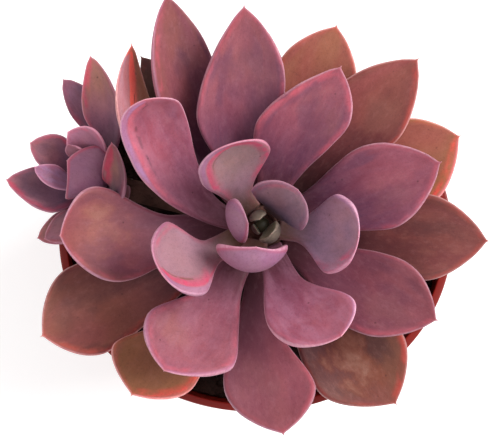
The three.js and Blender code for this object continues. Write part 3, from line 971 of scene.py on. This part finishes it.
def add_leaf(bm, leaf, left, right, tone, radius_at, seed, segments=LEAF_SIDES, rings=LEAF_RINGS, plump=1):
    """A fleshy blade made from a ball, with its poles at root and tip and its rings along the midline"""
    layers = bm.verts.layers.float_vector
    names = ("leaf_at", "leaf_place", "leaf_tone", "leaf_glow")
    at, place, tones, glows = [layers.get(name) or layers.new(name) for name in names]
    ball = bmesh.ops.create_uvsphere(bm, u_segments=segments, v_segments=rings, radius=1)["verts"]
    line = Midline(leaf, radius_at)
    half = leaf.wide / 2
    sections = []
    for ring in range(rings + 1):
        share = min(max((ring - 1) / (rings - 2), 0), 1)
        u = 1 - (1 - share) ** CROWDING
        sections.append((u, *section(u, leaf, (left, right), line)))

    for vert in ball:
        x, y, z = vert.co
        ring = rings - round(math.acos(min(max(z, -1), 1)) / math.pi * rings)
        u, point, aside, up, flanks = sections[ring]
        spread = math.sqrt(max(1 - z * z, 0))
        inside = 0 < ring < rings
        across = x / spread if inside else 0
        through = y / spread if inside else 0
        hand = 1 if across > 0 else -1
        width, slant, lip = flanks[0] if across > 0 else flanks[1]
        full = min(1, NARROW_FLESH + (flanks[0][0] + flanks[1][0]) / leaf.wide)
        flesh = half * THICK * plump * flesh_at(u) * full
        from_edge = (1 - abs(across)) * width * slant
        if through > 0:
            depth = face_depth(u, from_edge, width, lip, flesh)
        else:
            depth = flesh * BACK_SHARE * abs(through) ** BACK_ROUND
            from_edge = -from_edge - depth * BACK_WRAP
        lift = leaf.cup * half * (width / half) ** 2 * across**2
        edge = 1 + EDGE_WAVE * noise.noise(Vector((u * EDGE_WAVES, seed * EDGE_APART, hand))) * abs(across)
        spot = Vector((across * width * WAVE_ACROSS, u * line.length * WAVE_ALONG, seed * WAVE_APART))
        wave = noise.noise(spot) * WAVE * width / half * smoothstep(u, *WAVY) * (half / WAVE_HALF)
        rise = math.copysign(depth, through) + lift + wave
        vert.co = point + aside * (width * across * edge) + up * rise
        vert[at] = (u, from_edge - lip, from_edge)
        vert[place] = (across * width, u * line.length, seed * SKIN_APART + through * BACK_APART)
        vert[tones] = tone[:3]
        blush = lerp(right.blush, left.blush, smoothstep(across, -BLUSH_OVER, BLUSH_OVER))
        vert[glows] = (blush, tone.light, tone.scar)


def leaf_piece(node, row, radius_at, stand, material, slot, seed):
    bm = bmesh.new()
    add_leaf(bm, *row, radius_at, seed)
    bm.transform(stand)
    finished(node + "_blade", bm, material, slot, node)


def heart_piece(node, bud, stand, material):
    """A bud: its smallest leaves round a low core, which is painted dark as shade in the heart's hollow"""
    bm = bmesh.new()
    for i, row in enumerate(bud.rows):
        add_leaf(bm, *row, no_stem, bud.seed + i, BUD_SIDES, BUD_RINGS, bud.plump)
    core = bmesh.ops.create_uvsphere(
        bm, u_segments=BUD_SIDES, v_segments=CORE_RINGS, radius=bud.core_radius
    )
    tones = bm.verts.layers.float_vector["leaf_tone"]
    glows = bm.verts.layers.float_vector["leaf_glow"]
    for vert in core["verts"]:
        vert.co.z = GAP + bud.core_tall / 2 * (1 + vert.co.z / bud.core_radius)
        vert[tones] = CORE_TONE[:3]
        vert[glows] = (0, CORE_TONE.light, CORE_TONE.scar)
    bm.transform(stand)
    finished(node + "_bud", bm, material, "leaf_young", node)


def turned(bm, profile, steps):
    """Spins a closed profile of (radius, height) points about the upright"""
    corners = [bm.verts.new((r, 0, z)) for r, z in profile]
    edges = [bm.edges.new(pair) for pair in zip(corners, corners[1:])]
    bmesh.ops.spin(
        bm, geom=corners + edges, cent=(0, 0, 0), axis=(0, 0, 1), angle=2 * math.pi, steps=steps,
        use_merge=True,
    )
    bmesh.ops.remove_doubles(bm, verts=bm.verts, dist=0.001)
    bmesh.ops.recalc_face_normals(bm, faces=bm.faces)


def rounded(corners):
    """A profile from its corners, where each one that has a radius becomes a short curve"""
    points = []
    for i, (corner, radius) in enumerate(corners):
        here = Vector(corner)
        if not radius:
            points.append(here)
            continue
        before = Vector(corners[i - 1][0]) - here
        after = Vector(corners[i + 1][0]) - here
        cut = min(radius, before.length * 0.49, after.length * 0.49)
        start = here + before.normalized() * cut
        end = here + after.normalized() * cut
        for k in range(CORNER_STEPS + 1):
            t = k / CORNER_STEPS
            points.append(start.lerp(here, t).lerp(here.lerp(end, t), t))
    return [tuple(p) for p in points]


def drain_drill():
    """The drain holes' plugs, as one object to cut with"""
    drill = bmesh.new()
    for i in range(DRAIN_HOLES):
        at = around(i * 360 / DRAIN_HOLES, DRAIN_CIRCLE)
        place = Matrix.Translation((at.x, at.y * POT_OVAL, DRAIN_RECESS))
        bmesh.ops.create_cone(
            drill, cap_ends=True, segments=DRILL_SIDES, radius1=DRAIN_RADIUS, radius2=DRAIN_RADIUS,
            depth=DRILL_LONG, matrix=place,
        )
    bmesh.ops.scale(drill, vec=(MM, MM, MM), verts=drill.verts)
    mesh = bpy.data.meshes.new("drill")
    drill.to_mesh(mesh)
    drill.free()
    cutter = bpy.data.objects.new("drill", mesh)
    bpy.context.scene.collection.objects.link(cutter)
    return cutter


def build_pot():
    """The pot's section, each corner with its radius, height and rounding, spun, made oval and drilled"""
    section_corners = [
        ((0, 0), 0),
        ((DRAIN_RING[0], 0), 0.3),
        ((DRAIN_RING[0] + EASE, DRAIN_RECESS), 0.3),
        ((DRAIN_RING[1] - EASE, DRAIN_RECESS), 0.3),
        ((DRAIN_RING[1], 0), 0.3),
        ((BASE_RADIUS - INSET, 0), 1.0),
        ((UNDER_RIM, RIM_FOOT - 2 * EASE), 0.3),
        ((RIM_RADIUS - 2 * EASE, RIM_FOOT - EASE), 0.3),
        ((RIM_RADIUS - EASE, RIM_FOOT), 0.4),
        ((RIM_RADIUS, POT_HEIGHT), 0.6),
        ((RIM_RADIUS - LIP, POT_HEIGHT), 0.5),
        ((RIM_RADIUS - LIP, POT_HEIGHT - LIP_DEEP), 0.6),
        ((RIM_RADIUS - WALL - INSET, POT_HEIGHT - LIP_FADE), 0.6),
        ((BAND_INSIDE, RIM_FOOT + BAND_STEP), 0.6),
        ((UNDER_RIM - WALL, RIM_FOOT - BAND_STEP), 0.6),
        ((BASE_RADIUS - WALL, FLOOR_TOP), 1.0),
        ((0, FLOOR_TOP), 0),
    ]
    bm = bmesh.new()
    turned(bm, rounded(section_corners), POT_STEPS)
    bmesh.ops.scale(bm, vec=(1, POT_OVAL, 1), verts=bm.verts)
    pot = finished("pot_shell", bm, pot_finish(), "pot_plastic", "pot")
    cutter = drain_drill()
    cut = pot.modifiers.new("drain holes", "BOOLEAN")
    cut.operation = "DIFFERENCE"
    cut.solver = "EXACT"
    cut.object = cutter
    baked = bpy.data.meshes.new_from_object(pot.evaluated_get(bpy.context.evaluated_depsgraph_get()))
    pot.modifiers.clear()
    pot.data = baked
    pot.data.set_sharp_from_angle(angle=math.radians(SHARP_ANGLE))
    bpy.data.objects.remove(cutter)


def soil_height(x, y):
    """Height of the soil's surface, with the part's own gentle heaps"""
    fade = 1 - smoothstep(math.hypot(x, y / POT_OVAL), *SOIL_FADE)
    bump = math.sin(x * 0.31 + 1) * math.cos(y * 0.27) + 0.6 * math.sin(x * 0.12 - y * 0.19)
    return SOIL_TOP + SOIL_BUMPS * bump * fade


def build_soil():
    """The soil's section, up the wall, over the top and down the stem's hole, is spun and then heaped"""
    clear = GAP / POT_OVAL + INSET / 2
    edge = RIM_RADIUS - LIP - INSET
    mouth = STEM_RADIUS + MOUTH_GAPS * GAP
    bank = [
        (0, FLOOR_TOP + GAP),
        (BASE_RADIUS - WALL - clear, FLOOR_TOP + GAP),
        (UNDER_RIM - WALL - clear, RIM_FOOT - BAND_STEP),
        (BAND_INSIDE - clear, RIM_FOOT + BAND_STEP),
    ]
    top = [(lerp(edge, mouth, i / SOIL_RINGS), SOIL_TOP) for i in range(SOIL_RINGS + 1)]
    hole = [(mouth, STEM_FOOT - GAP), (0, STEM_FOOT - GAP)]
    bm = bmesh.new()
    turned(bm, bank + top + hole, SOIL_STEPS)
    for vert in bm.verts:
        slide = 1 - smoothstep(vert.co.xy.length, mouth, ROUND_WITHIN)
        vert.co.y *= lerp(POT_OVAL, 1, slide)
        vert.co += STEM_AT * slide
        if math.isclose(vert.co.z, SOIL_TOP, abs_tol=0.01):
            x, y, _ = vert.co
            clods = noise.fractal(Vector((x * CLOD_SCALE, y * CLOD_SCALE, 0)), *CLOD_NOISE)
            vert.co.z = soil_height(x, y) + CLOD_HIGH * clods
    finished("soil_bed", bm, crumbly_finish("soil", srgb(34, 22, 20), srgb(60, 42, 37)), "soil", "soil")


def scatter(name, crumbs, material):
    """Small irregular lumps that lie on the soil, clear of the stem and the pot's wall"""
    draw = random.Random(crumbs.seed)
    bm = bmesh.new()
    for _ in range(crumbs.count):
        r = math.sqrt(draw.uniform(*CRUMB_AREA)) * (RIM_RADIUS - LIP)
        at = around(draw.uniform(0, 360), r)
        at.y *= POT_OVAL
        if (at - STEM_AT).xy.length < STEM_RADIUS + STEM_ROOM:
            continue
        size = draw.uniform(*crumbs.sizes)
        at.z = soil_height(at.x, at.y) + size * (0.5 - crumbs.sunk)
        turn = Matrix.Rotation(draw.uniform(0, 2 * math.pi), 4, "Z")
        turn @= Matrix.Rotation(draw.uniform(-CRUMB_TILT, CRUMB_TILT), 4, "X")
        lump = bmesh.ops.create_icosphere(bm, subdivisions=1, radius=size / 2)["verts"]
        for vert in lump:
            spot = vert.co * CRUMB_NOISE / size + Vector((r, at.x, at.y))
            vert.co *= 1 + CRUMB_ROUGH * noise.noise(spot)
            vert.co.x *= crumbs.stretch
        bmesh.ops.transform(bm, matrix=Matrix.Translation(at) @ turn, verts=lump)
    finished(name, bm, material, "soil")


def build_stem():
    """The solid's own form, made finer and dressed with bark"""
    bm = bmesh.new()
    bm.from_mesh(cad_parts["stem"].data)
    bmesh.ops.remove_doubles(bm, verts=bm.verts, dist=0.00001)
    bmesh.ops.subdivide_edges(bm, edges=bm.edges, cuts=2, use_grid_fill=True)
    for _ in range(BARK_SMOOTHING):
        bmesh.ops.smooth_vert(
            bm, verts=bm.verts, factor=0.5, use_axis_x=True, use_axis_y=True, use_axis_z=True
        )
    bmesh.ops.scale(bm, vec=(1 / MM, 1 / MM, 1 / MM), verts=bm.verts)
    bm.normal_update()
    for vert in bm.verts:
        ring = math.sin(vert.co.z * BARK_RINGS + 0.6 * noise.noise(vert.co * 0.3))
        vert.co += vert.normal * (BARK_RING_HIGH * ring + BARK_BUMP_HIGH * noise.noise(vert.co * 0.9))
    # The bark's dark brown is partly its own colour and partly painted shade under the leaves
    bark = crumbly_finish("stem", srgb(66, 42, 38), srgb(98, 68, 60), 700.0, 0.85)
    finished("stem_bark", bm, bark, "stem", "stem")


def build_plant():
    finishes = {name: leaf_finish(name) for name in PALETTES}
    main = Matrix.Translation(STEM_AT)
    for i, row in enumerate(ROSETTE):
        slot = "leaf_young" if i < YOUNG_LEAVES else "leaf" if i < GROWN_LEAVES else "leaf_old"
        leaf_piece(f"leaf_{i + 1:02d}", row, stem_radius, main, finishes[slot], slot, i + 1)
    heart_piece("heart", HEART, main @ Matrix.Translation((0, 0, STEM_APEX)), finishes["bud"])

    skin = finishes["offset_leaf"]
    lean = Vector((0, 0, 1)).rotation_difference(heading(OFFSET_AZ, 90 - OFFSET_LEAN))
    post = Matrix.Translation(OFFSET_AT) @ lean.to_matrix().to_4x4()
    for i, row in enumerate(OFFSET_LEAVES):
        leaf_piece(f"offset_leaf_{i + 1:02d}", row, offset_radius, post, skin, "leaf", OFFSET_SEED + i)
    heart_piece("offset_heart", OFFSET_HEART, post @ Matrix.Translation((0, 0, OFFSET_APEX)), skin)


def build_bed():
    build_soil()
    peat = crumbly_finish("soil_peat", srgb(28, 19, 18), srgb(58, 43, 38))
    bark = crumbly_finish("soil_bark", srgb(46, 28, 22), srgb(74, 50, 38))
    grit = crumbly_finish("soil_grit", srgb(120, 117, 110), srgb(165, 160, 150), 1400.0)
    scatter("soil_crumbs", PEAT, peat)
    scatter("soil_chips", CHIPS, bark)
    scatter("soil_perlite", PERLITE, grit)


# Setting


def placed(name, data):
    """An object of the setting, linked to the scene"""
    made = bpy.data.objects.new(name, data)
    bpy.context.scene.collection.objects.link(made)
    return made


def build_camera():
    camera = bpy.data.cameras.new("camera")
    camera.sensor_width = SENSOR
    camera.lens = FOCAL_PIXELS * SENSOR / FRAME_WIDTH
    camera.clip_start = CLIP_NEAR
    camera.clip_end = CLIP_FAR
    viewpoint = placed("camera", camera)
    viewpoint.location = CAMERA_AT * MM
    bpy.context.scene.camera = viewpoint


def build_paper():
    """The white paper that the pot stands on"""
    bm = bmesh.new()
    bmesh.ops.create_grid(bm, x_segments=2, y_segments=2, size=PAPER_SIZE)
    mesh = bpy.data.meshes.new("floor")
    bm.to_mesh(mesh)
    bm.free()
    floor = placed("floor", mesh)
    paper = Finish("floor").surface(
        Base_Color=(PAPER_WHITE, PAPER_WHITE, PAPER_WHITE),
        Roughness=0.9,
        Emission_Color=(1.0, 1.0, 1.0),
        Emission_Strength=PAPER_GLOW,
    )
    floor.data.materials.append(paper)


def build_lights():
    for name, (at, size, power) in LIGHTS.items():
        light = bpy.data.lights.new(name, "AREA")
        light.size = size
        light.energy = power
        lamp = placed(name, light)
        lamp.location = at
        aim = LIGHT_AIM - Vector(at)
        lamp.rotation_euler = aim.to_track_quat("-Z", "Y").to_euler()

    world = bpy.data.worlds.new("studio")
    world.use_nodes = True
    sky = world.node_tree.nodes["Background"]
    sky.inputs["Color"].default_value = (1, 1, 1, 1)
    sky.inputs["Strength"].default_value = SKY
    bpy.context.scene.world = world
    bpy.context.scene.view_settings.view_transform = "Standard"


build_camera()
build_paper()
build_lights()
build_plant()
build_stem()
build_bed()
build_pot()
